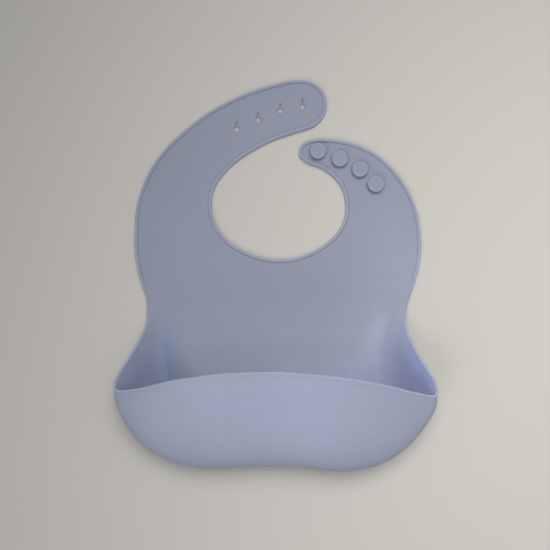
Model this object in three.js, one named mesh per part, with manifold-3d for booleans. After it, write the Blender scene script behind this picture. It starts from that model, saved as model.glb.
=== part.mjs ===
// Silicone baby bib with a catch pocket, lying on its back.
// Millimetres. +Z is up (front of the bib, pocket and studs), +Y points towards the straps and
// +X to the wearer's left. In names and comments, left is -X and right is +X, as seen from above.
// The moulding is split into regions with a small gap at every line where the silicone flexes,
// so that each region can move as a rigid piece.
import * as THREE from 'three';
import { mergeVertices } from 'three/addons/utils/BufferGeometryUtils.js';
import Module from 'manifold-3d';

// ---------------------------------------------------------------- sheet, bead and gaps
const SHEET_T = 2.0;            // wall thickness of the sheet and pocket
const BEAD_W = 2.6;             // width of the raised edge bead
const BEAD_H = 3.0;             // height of the bead's top above the back face
const BEAD_END_Y = 8.0;         // the bead stops here, just above the waist
const GAP = 0.3;                // gap between neighbouring regions
const HALF_GAP = GAP / 2;
const GUSSET_END_GAP = 0.4;     // trimmed off each gusset where it meets the pocket
const FRONT_SIDE_GAP = 0.9;     // trimmed off the sides of the pocket's front wall and rim
const SEAM_GAP = 0.6;           // trimmed off each side of the seam below the front wall

// ---------------------------------------------------------------- flex lines
// a point on the line and the direction across it, away from the waist or towards the strap's tip
const levelLine = y => ({ at: [0, y], dir: [0, 1] });
const WAIST_Y = 1.0;
const WAIST_FOLD = levelLine(WAIST_Y);
const NECK_FOLD = levelLine(22.0);      // below the neck opening
const STRAP_ROOT = levelLine(61.2);     // where both straps leave the shoulders
const HOLE_FLEX_LOW = { at: [-49.5, 108.7], dir: [0.626, 0.780] };
const HOLE_FLEX_HIGH = { at: [-21.2, 127.05], dir: [0.9395, 0.3425] };
const STUD_FLEX = { at: [52.1, 97.35], dir: [-0.887, 0.462] };

// ---------------------------------------------------------------- fastening
const HOLES = [[-29.1, 123.0], [-13.6, 129.7], [2.2, 136.1], [18.3, 139.0]];    // centres x, y
const HOLE_R = 1.8;
const SLIT_W = 1.3;
const SLIT_UP = 5.2;            // reach of the slit from the hole's centre towards +Y
const SLIT_DOWN = 3.6;          // and towards -Y
const CUTTER_H = 12;            // height of the hole cutters, centred on the back face

const STUDS = [[29.3, 106.6], [44.9, 101.1], [59.3, 93.6], [70.7, 82.9]];       // centres x, y
const STUD_R = 5.85;
const STUD_TOP = 5.6;           // height of the top above the back face
const STUD_RIM = 1.7;           // width of the rim round the dish
const STUD_DISH = 0.5;          // depth of the dish
const STUD_NECK_R = 4.3;

// ---------------------------------------------------------------- outlines
// columns are x, y in the flat tables and x, y, z in the others

// sheet edge: left waist, round the hole strap, the neck and the stud strap, to the right waist
const UPPER_EDGE = [
  [-93.9, 1.0], [-99.2, 17.1], [-102.2, 33.7], [-102.3, 50.7], [-100.9, 67.6], [-95.9, 83.8],
  [-88.0, 98.7], [-77.3, 111.9], [-64.7, 123.2], [-51.2, 133.5], [-36.5, 141.9], [-21.1, 149.0],
  [-4.9, 154.1], [11.6, 157.8], [23.4, 157.0], [30.7, 152.9], [34.6, 146.4], [35.7, 138.3],
  [33.1, 131.0], [26.9, 124.9], [12.8, 119.9], [-3.2, 114.4], [-18.3, 106.5], [-32.0, 96.7],
  [-43.0, 83.8], [-46.9, 71.5], [-44.7, 56.7], [-35.5, 43.2], [-21.2, 34.3], [-4.9, 29.6],
  [12.0, 30.2], [27.8, 36.1], [41.2, 46.4], [48.1, 58.4], [48.7, 73.1], [44.2, 84.2],
  [32.6, 94.2], [21.0, 99.3], [16.7, 104.5], [18.0, 111.1], [23.8, 114.8], [36.5, 115.6],
  [53.2, 113.0], [68.7, 106.4], [81.9, 95.7], [92.3, 82.4], [99.5, 67.1], [102.8, 50.5],
  [103.3, 33.5], [100.3, 16.9], [95.0, 0.8],
];

// corners where the gusset edge, the rim and the belly line meet
const CORNER_LEFT = [-111.4, -59.5, 28.0];
const CORNER_RIGHT = [109.8, -63.4, 28.0];

// free edges of the two side gussets, rising from the waist to the pocket corners
const GUSSET_EDGE_LEFT = [
  [-94.0, 1.0, 0], [-93.5, -7.6, 0.6], [-93.9, -16.0, 2.6], [-96.6, -23.7, 5.8],
  [-99.9, -30.6, 9.5], [-103.3, -37.5, 13.6], [-107.1, -43.9, 18.0], [-110.1, -50.4, 22.6],
  [-111.6, -55.8, 26.3], CORNER_LEFT,
];
const GUSSET_EDGE_RIGHT = [
  [95.0, 0.8, 0], [93.0, -8.6, 0.4], [92.9, -16.4, 2.4], [94.5, -23.7, 5.4],
  [96.9, -30.5, 9.2], [99.7, -36.8, 13.2], [103.0, -43.0, 17.4], [106.2, -49.1, 21.8],
  [108.9, -55.1, 25.8], CORNER_RIGHT,
];

// rim of the pocket's front wall
const RIM = [
  CORNER_LEFT, [-106.6, -60.5, 28.8], [-101.7, -60.3, 29.6], [-91.8, -58.6, 31.3],
  [-82.1, -56.0, 33.0], [-72.4, -53.5, 34.6], [-62.7, -51.8, 36.0], [-53.2, -50.2, 37.3],
  [-38.9, -48.2, 39.2], [-24.8, -47.2, 40.8], [-12.8, -46.7, 41.6], [-0.1, -46.5, 42.0],
  [13.9, -47.4, 41.7], [32.7, -49.4, 40.0], [51.6, -52.0, 37.6], [70.8, -55.8, 34.6],
  [81.9, -58.6, 32.8], [90.3, -61.0, 31.3], [100.2, -63.2, 29.5], [105.8, -64.1, 28.6],
  CORNER_RIGHT,
];

// widest line of the pocket, where the wall turns from under to over
const BELLY = [
  CORNER_LEFT, [-111.1, -65.4, 25.5], [-109.5, -73.3, 23.0], [-106.8, -81.1, 21.0],
  [-103.3, -88.6, 19.5], [-98.6, -95.2, 18.3], [-92.8, -100.9, 17.4], [-86.5, -105.5, 16.8],
  [-79.7, -109.4, 16.3], [-72.4, -112.7, 16.0], [-64.5, -115.0, 16.0], [-51.8, -117.0, 16.0],
  [-39.9, -117.1, 16.0], [-28.0, -116.5, 16.0], [-14.7, -115.9, 16.0], [0.0, -115.7, 16.0],
  [12.5, -116.1, 16.0], [23.0, -117.1, 16.0], [34.2, -118.5, 16.0], [44.7, -119.0, 16.0],
  [53.8, -118.7, 16.0], [63.6, -116.8, 16.0], [72.7, -113.9, 16.2], [81.0, -109.6, 16.6],
  [87.9, -104.7, 17.2], [93.8, -98.9, 18.2], [98.9, -92.5, 19.5], [102.8, -85.5, 21.0],
  [106.1, -78.0, 23.0], [108.7, -70.7, 25.5], CORNER_RIGHT,
];

// creases where the flat back turns up into the gussets and the pocket
const CREASE_CORNER_LEFT = [-77.4, -63.4];
const CREASE_CORNER_RIGHT = [78.5, -67.7];
const CREASE_LEFT = [
  [-91.0, 1.0], [-88.2, -7.2], [-84.2, -15.8], [-81.7, -24.5], [-80.3, -32.4],
  [-79.2, -41.8], [-78.1, -51.8], CREASE_CORNER_LEFT,
];
const CREASE_POCKET = [
  CREASE_CORNER_LEFT, [-76.7, -73.4], [-74.5, -82.8], [-69.5, -91.1], [-61.2, -96.8],
  [-49.7, -99.7], [-35.3, -100.1], [-19.4, -99.4], [0.0, -98.9], [18.0, -99.7], [35.3, -101.5],
  [49.7, -101.9], [61.2, -99.9], [69.8, -94.7], [75.2, -86.8], [77.8, -77.4],
  CREASE_CORNER_RIGHT,
];
const CREASE_RIGHT = [
  [91.9, 0.8], [89.3, -7.2], [85.3, -14.4], [81.7, -21.6], [79.6, -28.8], [78.5, -37.4],
  [78.5, -47.5], [78.5, -57.6], CREASE_CORNER_RIGHT,
];

// ---------------------------------------------------------------- subdivision
const UPPER_SAMPLES = 200;
const PANEL_SIDE_SAMPLES = 16;
const PANEL_POCKET_SAMPLES = 60;
const PROFILE_SAMPLES = 40;     // points on each Bezier before it is respaced
const HOLE_SEGMENTS = 20;
const STUD_SEGMENTS = 28;
const GUSSET_COLS = 12;
const GUSSET_ROWS = 8;
const POCKET_COLS = 56;
const FRONT_COLS = [16, 41];    // pocket columns of the middle, between the two sides
const ROWS = 16;                // pocket rows from the crease to the rim
const UNDER_ROWS = 8;           // rows from the crease to the belly line
const SEAM_ROW = 10;            // row where the front wall leaves the rounded bottom

// ---------------------------------------------------------------- materials
const SILICONE = { color: 0x8f97ac, roughness: 0.62, metalness: 0.0 };
const STUD_SILICONE = { ...SILICONE, color: 0x9299ae };

// ---------------------------------------------------------------- solids and curves
const wasm = await Module();
wasm.setup();
const { Manifold, Mesh: ManifoldMesh } = wasm;

function toManifold(geometry) {
  const bare = geometry.clone();
  bare.deleteAttribute('normal');
  bare.deleteAttribute('uv');
  const welded = mergeVertices(bare, 1e-3);
  return new Manifold(new ManifoldMesh({
    numProp: 3,
    vertProperties: new Float32Array(welded.attributes.position.array),
    triVerts: new Uint32Array(welded.index.array),
  }));
}

function indexedGeometry(positions, indices) {
  const geometry = new THREE.BufferGeometry();
  geometry.setAttribute('position', new THREE.Float32BufferAttribute(positions, 3));
  geometry.setIndex(indices);
  geometry.computeVertexNormals();
  return geometry;
}

function toGeometry(solid) {
  const mesh = solid.getMesh();
  return indexedGeometry(mesh.vertProperties, Array.from(mesh.triVerts));
}

// a flat plate standing on the back face
function plate(outline, height) {
  const shape = new THREE.Shape(outline.map(([x, y]) => new THREE.Vector2(x, y)));
  const options = { depth: height, bevelEnabled: false, curveSegments: 1 };
  return toManifold(new THREE.ExtrudeGeometry(shape, options));
}

// a block larger than the bib, starting at a flex line moved by offset and lying beyond it
function blockBeyond({ at, dir }, offset) {
  const size = 600;
  const block = new THREE.BoxGeometry(size, size, 60);
  block.translate(0, size / 2, 0);
  block.rotateZ(Math.atan2(dir[1], dir[0]) - Math.PI / 2);
  block.translate(at[0] + dir[0] * offset, at[1] + dir[1] * offset, 0);
  return toManifold(block);
}
const partBeyond = (solid, line) => solid.intersect(blockBeyond(line, HALF_GAP));
const partBefore = (solid, line) => solid.subtract(blockBeyond(line, -HALF_GAP));

function smoothCurve(points) {
  const vectors = points.map(([x, y, z = 0]) => new THREE.Vector3(x, y, z));
  return new THREE.CatmullRomCurve3(vectors, false, 'centripetal');
}

const flatSamples = (points, count) =>
  smoothCurve(points).getSpacedPoints(count).map(({ x, y }) => [x, y]);

// moves an open outline to the right of its direction of travel
function offsetRight(points, distance) {
  return points.map(([x, y], i) => {
    const before = points[Math.max(0, i - 1)];
    const after = points[Math.min(points.length - 1, i + 1)];
    const dx = after[0] - before[0];
    const dy = after[1] - before[1];
    const length = Math.hypot(dx, dy);
    return [x + dy / length * distance, y - dx / length * distance];
  });
}

// ---------------------------------------------------------------- flat upper sheet
// round hole with a slit through it
function holeCutter(x, y) {
  const disc = new THREE.CylinderGeometry(HOLE_R, HOLE_R, CUTTER_H, HOLE_SEGMENTS);
  disc.rotateX(Math.PI / 2);
  disc.translate(x, y, 0);
  const slit = new THREE.BoxGeometry(SLIT_W, SLIT_UP + SLIT_DOWN, CUTTER_H);
  slit.translate(x, y + (SLIT_UP - SLIT_DOWN) / 2, 0);
  return toManifold(disc).add(toManifold(slit));
}

function upperSheet() {
  const edge = flatSamples(UPPER_EDGE, UPPER_SAMPLES);
  const beadEdge = edge.filter(([, y]) => y > BEAD_END_Y);
  const beadOutline = [...beadEdge, ...offsetRight(beadEdge, BEAD_W).reverse()];
  const beaded = plate(edge, SHEET_T).add(plate(beadOutline, BEAD_H));
  return HOLES.reduce((sheet, [x, y]) => sheet.subtract(holeCutter(x, y)), beaded);
}

function splitUpperSheet() {
  const aboveWaist = partBeyond(upperSheet(), WAIST_FOLD);
  const aboveFold = partBeyond(aboveWaist, NECK_FOLD);
  // the straps are separate solids; the hole strap is the one on the left shoulder
  const leftEnd = solid => solid.boundingBox().min[0];
  const [holeStrap, studStrap] = partBeyond(aboveFold, STRAP_ROOT).decompose()
    .sort((a, b) => leftEnd(a) - leftEnd(b));
  const holeOuter = partBeyond(holeStrap, HOLE_FLEX_LOW);
  return {
    foldBand: partBefore(aboveWaist, NECK_FOLD),
    yoke: partBefore(aboveFold, STRAP_ROOT),
    holeRoot: partBefore(holeStrap, HOLE_FLEX_LOW),
    holeMid: partBefore(holeOuter, HOLE_FLEX_HIGH),
    holeTip: partBeyond(holeOuter, HOLE_FLEX_HIGH),
    studRoot: partBefore(studStrap, STUD_FLEX),
    studTip: partBeyond(studStrap, STUD_FLEX),
  };
}

// ---------------------------------------------------------------- studs
// turned mushroom button with a dished top
function studGeometry(x, y) {
  const base = SHEET_T + GAP;
  const dishR = STUD_R - STUD_RIM;
  const dishZ = STUD_TOP - STUD_DISH;
  const profile = [   // radius, z
    [0, base], [STUD_NECK_R, base], [STUD_NECK_R, base + 0.7],              // neck
    [STUD_R - 0.3, base + 1.0], [STUD_R, base + 1.4],                       // under the head
    [STUD_R, STUD_TOP - 0.6], [STUD_R - 0.25, STUD_TOP - 0.15],             // side of the head
    [STUD_R - 0.8, STUD_TOP], [dishR + 0.3, STUD_TOP - 0.05],               // rim
    [dishR, dishZ], [0, dishZ],                                             // dish
  ];
  const points = profile.map(([radius, z]) => new THREE.Vector2(radius, z));
  const stud = new THREE.LatheGeometry(points, STUD_SEGMENTS);
  stud.rotateX(Math.PI / 2);
  stud.translate(x, y, 0);
  return toGeometry(toManifold(stud));
}

// ---------------------------------------------------------------- gusset and pocket grids
// A grid is a list of columns, each running from the crease up to the free edge.
const CIRCLE_HANDLE = 0.5523;   // Bezier handle of a quarter circle, per radius
// other handles, as fractions of the plan distance that the Bezier spans
const CREASE_HANDLE = 0.38;
const EDGE_HANDLE = 0.42;       // at the gusset edge, and below the belly at a corner
const CORNER_OVER_HANDLE = 0.3; // above the belly at a corner
const RIM_HANDLE = 0.5;
const RIM_DROP = 0.06;          // how far the handle at the rim dips below it
const EDGE_HANDLE_Z = 0.50;     // height of the gusset edge's handle, per edge height
const CORNER_TRIM = 0.012;      // fraction of the guide curves left out at each corner
const CORNER_BLEND = 40;        // belly length over which the wall takes its upright form

// count + 1 points evenly spaced along a polyline
function respace(points, count) {
  const reach = [0];
  for (let i = 1; i < points.length; i++) {
    reach.push(reach[i - 1] + points[i].distanceTo(points[i - 1]));
  }
  const spaced = [];
  let j = 0;
  for (let k = 0; k <= count; k++) {
    const target = reach[reach.length - 1] * k / count;
    while (j < points.length - 2 && reach[j + 1] < target) j++;
    const fraction = Math.min(1, (target - reach[j]) / (reach[j + 1] - reach[j]));
    spaced.push(points[j].clone().lerp(points[j + 1], fraction));
  }
  return spaced;
}

function bezierPoints(start, handle1, handle2, end, count) {
  const bezier = new THREE.CubicBezierCurve3(start, handle1, handle2, end);
  return respace(bezier.getPoints(PROFILE_SAMPLES), count);
}

const planVector = (from, to) => to.clone().sub(from).setZ(0);

function gussetColumn(crease, edge) {
  const out = planVector(crease, edge);
  const handle1 = crease.clone().addScaledVector(out, CREASE_HANDLE);
  const handle2 = edge.clone().addScaledVector(out, -EDGE_HANDLE).setZ(edge.z * EDGE_HANDLE_Z);
  return bezierPoints(crease, handle1, handle2, edge, GUSSET_ROWS);
}

function gussetGrid(edgePoints, creasePoints) {
  const edge = smoothCurve(edgePoints);
  const crease = smoothCurve(creasePoints);
  return Array.from({ length: GUSSET_COLS + 1 }, (_, i) => {
    const u = i / GUSSET_COLS;
    return gussetColumn(crease.getPointAt(u), edge.getPointAt(u));
  });
}

// upright: 0 at a corner, 1 where the wall passes the belly line vertically
function pocketColumn(crease, belly, rim, upright) {
  const slanted = 1 - upright;
  const out = planVector(crease, belly);
  const back = planVector(rim, belly);
  const slope = new THREE.Vector3(out.x, out.y, belly.z).normalize();
  const tangent = new THREE.Vector3(0, 0, 1).lerp(slope, slanted).normalize();

  const creaseHandle = CREASE_HANDLE + (CIRCLE_HANDLE - CREASE_HANDLE) * upright;
  const below = belly.z * CIRCLE_HANDLE * upright + out.length() * EDGE_HANDLE * slanted;
  const above = CIRCLE_HANDLE * (rim.z - belly.z) * upright
    + CORNER_OVER_HANDLE * back.length() * slanted;

  const under = bezierPoints(
    crease, crease.clone().addScaledVector(out, creaseHandle),
    belly.clone().addScaledVector(tangent, -below), belly, UNDER_ROWS);
  const over = bezierPoints(
    belly, belly.clone().addScaledVector(tangent, above),
    rim.clone().addScaledVector(back, RIM_HANDLE).setZ(rim.z - RIM_DROP * back.length()), rim,
    ROWS - UNDER_ROWS);
  return [...under, ...over.slice(1)];
}

function makePocketGrid() {
  const [crease, belly, rim] = [CREASE_POCKET, BELLY, RIM].map(smoothCurve);
  return Array.from({ length: POCKET_COLS + 1 }, (_, i) => {
    const u = CORNER_TRIM + (1 - 2 * CORNER_TRIM) * i / POCKET_COLS;
    const fromCorner = Math.min(u, 1 - u) * belly.getLength();
    const upright = THREE.MathUtils.smoothstep(fromCorner, 0, CORNER_BLEND);
    return pocketColumn(crease.getPointAt(u), belly.getPointAt(u), rim.getPointAt(u), upright);
  });
}

// ---------------------------------------------------------------- shells
function gridNormal(grid, i, j, sign) {
  const column = grid[i];
  const along = grid[Math.min(grid.length - 1, i + 1)][j].clone()
    .sub(grid[Math.max(0, i - 1)][j]);
  const up = column[Math.min(column.length - 1, j + 1)].clone()
    .sub(column[Math.max(0, j - 1)]);
  return along.cross(up).normalize().multiplyScalar(sign);
}

// Closed shell on a patch of the grid. The grid is the outer face and the wall grows inwards.
// gaps draw the border in at the first and last column and the low and high row.
// flip is set where columns x rows points outwards.
function shell(grid, [firstCol, lastCol], [lowRow, highRow], gaps, flip = true) {
  const { first = 0, last = 0, low = 0, high = 0 } = gaps;
  const outer = [];
  const inner = [];
  for (let i = firstCol; i <= lastCol; i++) {
    for (let j = lowRow; j <= highRow; j++) {
      const point = grid[i][j].clone();
      const pullTo = (neighbour, gap) =>
        point.addScaledVector(neighbour.clone().sub(grid[i][j]).normalize(), gap);
      if (i === firstCol) pullTo(grid[i + 1][j], first);
      if (i === lastCol) pullTo(grid[i - 1][j], last);
      if (j === lowRow) pullTo(grid[i][j + 1], low);
      if (j === highRow) pullTo(grid[i][j - 1], high);
      const normal = gridNormal(grid, i, j, flip ? -1 : 1);
      if (j === 0) normal.set(0, 0, 1);   // stand square on the back at the crease
      outer.push(point);
      inner.push(point.clone().addScaledVector(normal, SHEET_T));
    }
  }

  const iEnd = lastCol - firstCol;
  const jEnd = highRow - lowRow;
  const out = (i, j) => i * (jEnd + 1) + j;
  const inn = (i, j) => outer.length + out(i, j);
  const indices = [];
  const triangle = (a, b, c) => indices.push(...(flip ? [b, a, c] : [a, b, c]));
  const quad = (a, b, c, d) => {
    triangle(a, b, c);
    triangle(a, c, d);
  };
  for (let i = 0; i < iEnd; i++) {
    for (let j = 0; j < jEnd; j++) {
      quad(inn(i, j), inn(i + 1, j), inn(i + 1, j + 1), inn(i, j + 1));
      quad(out(i, j), out(i, j + 1), out(i + 1, j + 1), out(i + 1, j));
    }
    quad(out(i, 0), out(i + 1, 0), inn(i + 1, 0), inn(i, 0));
    quad(out(i + 1, jEnd), out(i, jEnd), inn(i, jEnd), inn(i + 1, jEnd));
  }
  for (let j = 0; j < jEnd; j++) {
    quad(out(0, j + 1), out(0, j), inn(0, j), inn(0, j + 1));
    quad(out(iEnd, j), out(iEnd, j + 1), inn(iEnd, j + 1), inn(iEnd, j));
  }
  return indexedGeometry([...outer, ...inner].flatMap(({ x, y, z }) => [x, y, z]), indices);
}

function gusset(edge, crease, flip) {
  const gaps = { first: GAP, last: GUSSET_END_GAP, low: HALF_GAP };
  return shell(gussetGrid(edge, crease), [0, GUSSET_COLS], [0, GUSSET_ROWS], gaps, flip);
}

// ---------------------------------------------------------------- lower panel
// the flat back between the creases, up to the waist fold
function lowerPanel() {
  const outline = [
    ...flatSamples(CREASE_LEFT, PANEL_SIDE_SAMPLES),
    ...flatSamples(CREASE_POCKET, PANEL_POCKET_SAMPLES).slice(1),
    ...flatSamples(CREASE_RIGHT, PANEL_SIDE_SAMPLES).reverse().slice(1),
  ];
  const inset = offsetRight(outline, -HALF_GAP);
  inset[0][1] = WAIST_Y - GAP;
  inset[inset.length - 1][1] = WAIST_Y - GAP;
  return toGeometry(plate(inset, SHEET_T));
}

// ---------------------------------------------------------------- assembly
function piece(name, geometry, material = SILICONE) {
  const mesh = new THREE.Mesh(geometry, new THREE.MeshStandardMaterial(material));
  mesh.name = name;
  return mesh;
}
const groupOf = (...children) => new THREE.Group().add(...children);

function bodyGroup() {
  const grid = makePocketGrid();
  const [from, to] = FRONT_COLS;
  const side = { low: HALF_GAP };
  const bottom = { first: HALF_GAP, last: HALF_GAP, low: HALF_GAP, high: SEAM_GAP };
  const frontSides = { first: FRONT_SIDE_GAP, last: FRONT_SIDE_GAP };
  const front = { ...frontSides, low: SEAM_GAP, high: HALF_GAP };
  const rim = { ...frontSides, low: HALF_GAP };
  return groupOf(
    piece('lower_panel', lowerPanel()),
    piece('gusset_left', gusset(GUSSET_EDGE_LEFT, CREASE_LEFT, true)),
    piece('gusset_right', gusset(GUSSET_EDGE_RIGHT, CREASE_RIGHT, false)),
    piece('pocket_side_left', shell(grid, [0, from], [0, ROWS], { ...side, last: HALF_GAP })),
    piece('pocket_side_right',
      shell(grid, [to, POCKET_COLS], [0, ROWS], { ...side, first: HALF_GAP })),
    piece('pocket_bottom', shell(grid, FRONT_COLS, [0, SEAM_ROW], bottom)),
    piece('pocket_front', shell(grid, FRONT_COLS, [SEAM_ROW, ROWS - 1], front)),
    piece('pocket_rim', shell(grid, FRONT_COLS, [ROWS - 1, ROWS], rim)),
  );
}

const parts = splitUpperSheet();
const bib = groupOf(
  bodyGroup(),
  groupOf(
    piece('fold_band', toGeometry(parts.foldBand)),
    piece('yoke', toGeometry(parts.yoke)),
  ),
  groupOf(
    piece('hole_strap_root', toGeometry(parts.holeRoot)),
    piece('hole_strap_mid', toGeometry(parts.holeMid)),
    piece('hole_strap_tip', toGeometry(parts.holeTip)),
  ),
  groupOf(
    piece('stud_strap_root', toGeometry(parts.studRoot)),
    piece('stud_strap_tip', toGeometry(parts.studTip)),
    ...STUDS.map(([x, y], i) => piece(`stud_${i + 1}`, studGeometry(x, y), STUD_SILICONE)),
  ),
);

export default bib;
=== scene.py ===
# Silicone bib lying on a table: one moulded skin, split only at the flex lines.
# Seen from above, +X is right and +Y runs from the pocket up to the straps; Z = 0 is the table.
# The strap with slits grows from the left shoulder and the strap with studs from the right one.
# Lengths are in millimetres and turn into metres when a mesh is made. Floor, lights and camera
# are in metres.
import bpy
import bmesh
import math
import numpy as np
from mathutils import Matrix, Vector
from mathutils.geometry import delaunay_2d_cdt

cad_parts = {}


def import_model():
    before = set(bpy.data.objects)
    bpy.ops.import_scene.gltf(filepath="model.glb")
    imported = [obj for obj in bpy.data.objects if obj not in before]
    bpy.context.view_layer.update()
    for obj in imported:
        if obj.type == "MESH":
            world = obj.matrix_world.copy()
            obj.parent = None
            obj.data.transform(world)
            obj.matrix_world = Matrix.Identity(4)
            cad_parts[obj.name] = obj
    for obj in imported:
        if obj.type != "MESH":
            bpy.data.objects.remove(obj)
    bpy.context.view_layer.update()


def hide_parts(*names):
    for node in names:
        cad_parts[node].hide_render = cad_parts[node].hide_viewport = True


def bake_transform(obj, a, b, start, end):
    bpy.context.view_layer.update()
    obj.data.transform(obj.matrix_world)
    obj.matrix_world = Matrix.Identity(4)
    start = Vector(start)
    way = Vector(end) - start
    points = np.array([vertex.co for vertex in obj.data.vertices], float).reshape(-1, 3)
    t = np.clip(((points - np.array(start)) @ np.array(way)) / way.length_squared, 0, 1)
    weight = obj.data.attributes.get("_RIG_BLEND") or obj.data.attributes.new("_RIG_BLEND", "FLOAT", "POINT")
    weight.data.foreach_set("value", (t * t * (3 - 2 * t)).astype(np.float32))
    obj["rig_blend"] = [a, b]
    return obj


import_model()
MM = 0.001

# ------------------------------------------------------------------ dimensions (mm)
SHEET_T = 2.0
LOWER_FOLD_Y, UPPER_FOLD_Y = 1.0, 22.0
FOLD_HALF = (UPPER_FOLD_Y - LOWER_FOLD_Y) / 2       # half the length of each fold of the chest
SHOULDER_Y = 61.2
SHOULDER_R_HALF, SHOULDER_L_BEND = 8.0, 27          # right bend is centred, left one starts there

# flex lines across the straps: point, direction towards the tip
HOLE_FLEX_1 = (-49.5, 108.7), (0.626, 0.780)
HOLE_FLEX_2 = (-21.2, 127.05), (0.9395, 0.3425)
STUD_FLEX = (52.1, 97.35), (-0.887, 0.462)
HOLE_FLEX_HALF, STUD_FLEX_HALF = 9.0, 6.5

SLITS = [(-29.1, 123.0), (-13.6, 129.7), (2.2, 136.1), (18.3, 139.0)]
SLIT_FLARE, SLIT_BEVEL = 0.32, 0.28                 # chamfer of a slit: sideways, downwards
STUDS = [(29.3, 106.6), (44.9, 101.1), (59.3, 93.6), (70.7, 82.9)]

# Outlines are x, y or x, y, z; z is 0 where it is left out.
CORNER_L, CORNER_R = (-111.4, -59.5, 28.0), (109.8, -63.4, 28.0)    # ends of the pocket rim

# outline above the lower fold, clockwise from the left waist, around both straps
EDGE_UPPER = [
    (-93.95, LOWER_FOLD_Y), (-99.2, 17.1), (-102.2, 33.7), (-102.3, 50.7), (-100.9, 67.6),
    (-95.9, 83.8), (-88.0, 98.7), (-77.3, 111.9), (-64.7, 123.2), (-51.2, 133.5), (-36.5, 141.9),
    (-21.1, 149.0), (-4.9, 154.1), (11.6, 157.8), (23.4, 157.0), (30.7, 152.9), (34.6, 146.4),
    (35.7, 138.3), (33.1, 131.0), (26.9, 124.9), (12.8, 119.9), (-3.2, 114.4), (-18.3, 106.5),
    (-32.0, 96.7), (-43.0, 83.8), (-46.9, 71.5), (-44.7, 56.7), (-35.5, 43.2), (-21.2, 34.3),
    (-4.9, 29.6), (12.0, 30.2), (27.8, 36.1), (41.2, 46.4), (48.1, 58.4), (48.7, 73.1),
    (44.2, 84.2), (32.6, 94.2), (20.8, 98.9), (15.9, 104.5), (17.4, 111.4), (23.8, 114.8),
    (36.5, 115.6), (53.2, 113.0), (68.7, 106.4), (81.9, 95.7), (92.3, 82.4), (99.5, 67.1),
    (102.8, 50.5), (103.3, 33.5), (100.3, 16.9), (95.0, LOWER_FOLD_Y)]
# free edges of the gussets, from below the waist down to the corners
EDGE_LEFT = [
    (-93.5, -7.6, 0.6), (-93.9, -16.0, 2.6), (-96.6, -23.7, 5.8), (-99.9, -30.6, 9.5),
    (-103.3, -37.5, 13.6), (-107.1, -43.9, 18.0), (-110.1, -50.4, 22.6), (-111.6, -55.8, 26.3),
    CORNER_L]
EDGE_RIGHT = [
    (93.0, -8.6, 0.4), (92.9, -16.4, 2.4), (94.5, -23.7, 5.4), (96.9, -30.5, 9.2),
    (99.7, -36.8, 13.2), (103.0, -43.0, 17.4), (106.2, -49.1, 21.8), (108.9, -55.1, 25.8),
    CORNER_R]
# rim of the pocket, left to right
RIM = [
    CORNER_L, (-106.6, -60.5, 28.8), (-101.7, -60.3, 29.6), (-91.8, -58.6, 31.3),
    (-82.1, -56.0, 33.0), (-72.4, -53.5, 34.6), (-62.7, -51.8, 36.0), (-53.2, -50.2, 37.3),
    (-38.9, -48.2, 39.2), (-24.8, -47.2, 40.8), (-12.8, -46.7, 41.6), (-0.1, -46.5, 42.0),
    (13.9, -47.4, 41.7), (32.7, -49.4, 40.0), (51.6, -52.0, 37.6), (70.8, -55.8, 34.6),
    (81.9, -58.6, 32.8), (90.3, -61.0, 31.3), (100.2, -63.2, 29.5), (105.8, -64.1, 28.6), CORNER_R]
# outermost line of the pocket wall, left to right
BELLY = [
    CORNER_L, (-111.1, -65.4, 25.5), (-109.5, -73.3, 23.0), (-106.8, -81.1, 21.0),
    (-103.3, -88.6, 19.5), (-98.6, -95.2, 18.3), (-92.8, -100.9, 17.4), (-86.5, -105.5, 16.8),
    (-79.7, -109.4, 16.3), (-72.4, -112.7, 16.0), (-64.5, -115.0, 16.0), (-51.8, -117.0, 16.0),
    (-39.9, -117.1, 16.0), (-28.0, -116.5, 16.0), (-14.7, -115.9, 16.0), (0.0, -115.7, 16.0),
    (12.5, -116.1, 16.0), (23.0, -117.1, 16.0), (34.2, -118.5, 16.0), (44.7, -119.0, 16.0),
    (53.8, -118.7, 16.0), (63.6, -116.8, 16.0), (72.7, -113.9, 16.2), (81.0, -109.6, 16.6),
    (87.9, -104.7, 17.2), (93.8, -98.9, 18.2), (98.9, -92.5, 19.5), (102.8, -85.5, 21.0),
    (106.1, -78.0, 23.0), (108.7, -70.7, 25.5), CORNER_R]
# creases where the flat panel turns up: the sides from the waist down, the pocket left to right
CREASE_LEFT = [
    (-84.5, LOWER_FOLD_Y), (-83.5, -7.2), (-82.4, -15.8), (-81.2, -24.5), (-80.3, -32.4),
    (-79.2, -41.8), (-78.1, -51.8), (-77.4, -63.4)]
CREASE_RIGHT = [
    (85.5, LOWER_FOLD_Y), (84.2, -7.2), (82.4, -14.4), (80.7, -21.6), (79.4, -28.8),
    (78.5, -37.4), (78.5, -47.5), (78.5, -57.6), (78.5, -67.7)]
CREASE_POCKET = [
    CREASE_LEFT[-1], (-76.7, -73.4), (-74.5, -82.8), (-69.5, -91.1), (-61.2, -96.8),
    (-49.7, -99.7), (-35.3, -100.1), (-19.4, -99.4), (0.0, -98.9), (18.0, -99.7), (35.3, -101.5),
    (49.7, -101.9), (61.2, -99.9), (69.8, -94.7), (75.2, -86.8), (77.8, -77.4), CREASE_RIGHT[-1]]

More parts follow.
